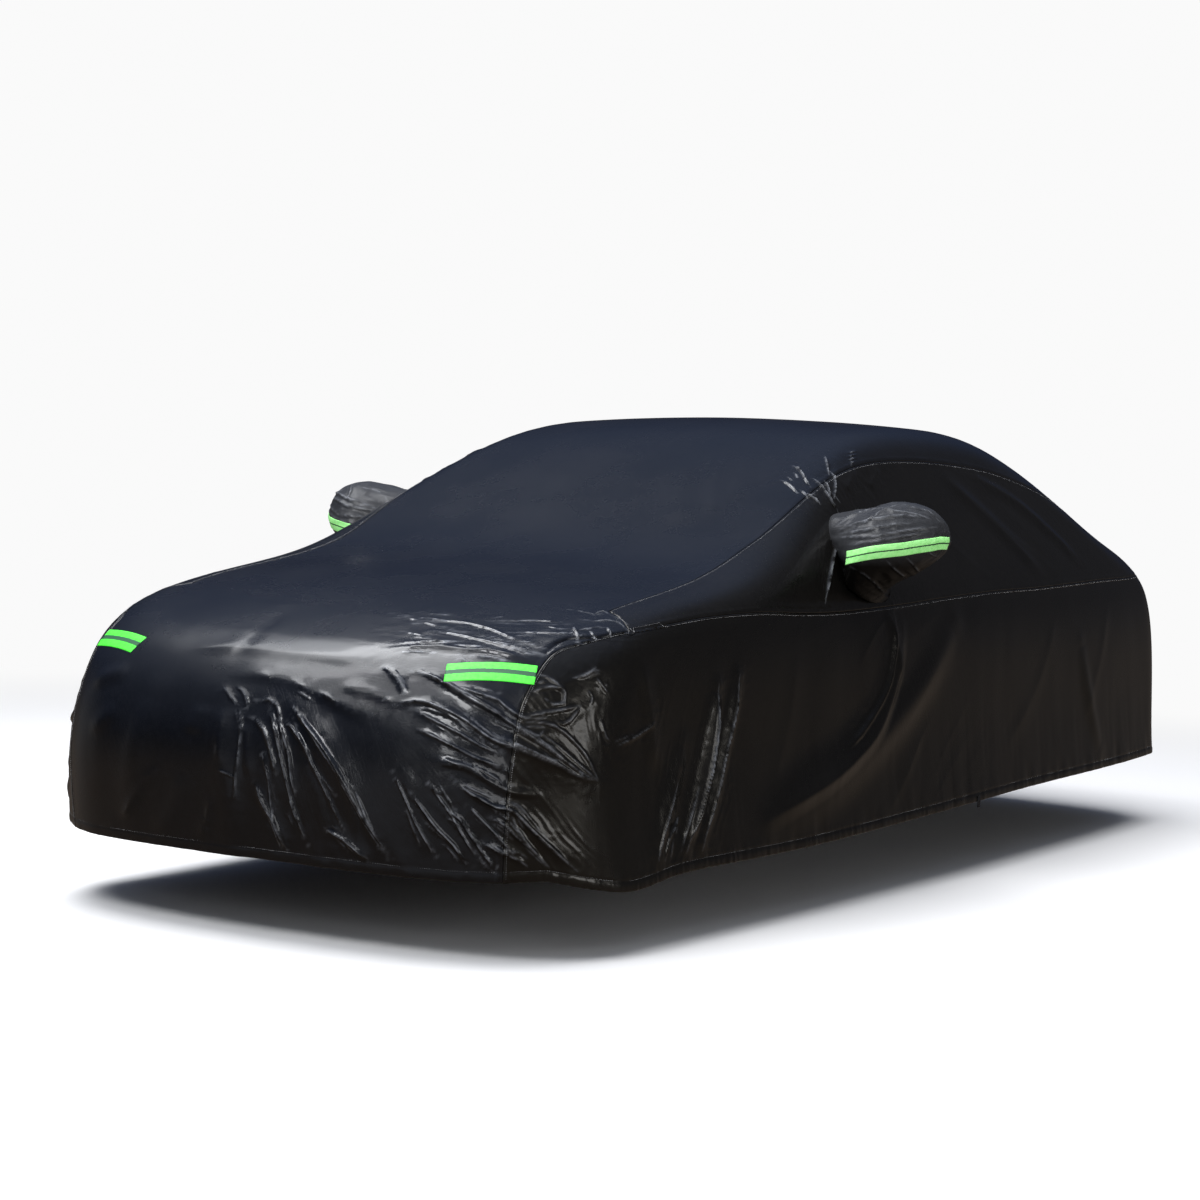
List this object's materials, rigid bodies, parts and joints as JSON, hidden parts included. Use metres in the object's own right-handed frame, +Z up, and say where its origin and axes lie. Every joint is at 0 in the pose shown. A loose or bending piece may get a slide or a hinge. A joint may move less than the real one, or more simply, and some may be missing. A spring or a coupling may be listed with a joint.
{
  "type": "fitted car cover",
  "caption": "Fitted saloon car cover of dark coated cloth, sewn from panels, with mirror pockets, reflective strips and a turned, gathered hem.",
  "frame": {"origin": "underside of the cloth at the crown of the roof, where the cover rests on the car", "axes": "+X towards the nose of the car, +Y towards the car's left, +Z up"},
  "size_m": [4.7497, 2.204, 1.2508],
  "materials": {
    "cloth_top": "satin",
    "cloth_side": "satin",
    "pocket": "satin",
    "strip_lime": "satin",
    "strip_pale": "satin",
    "webbing": "matte"
  },
  "bodies": {
    "root": {"centre_panel": "cloth_top", "side_upper_left": "cloth_side", "side_upper_right": "cloth_side", "side_lower_left": "cloth_side", "side_lower_right": "cloth_side", "mirror_pocket_left": "pocket", "mirror_pocket_right": "pocket", "strip_front_left": "strip_lime", "strip_front_right": "strip_lime", "strip_mirror_left": "strip_pale", "strip_mirror_right": "strip_pale", "hem_tab_left": "webbing"}
  },
  "joints": []
}
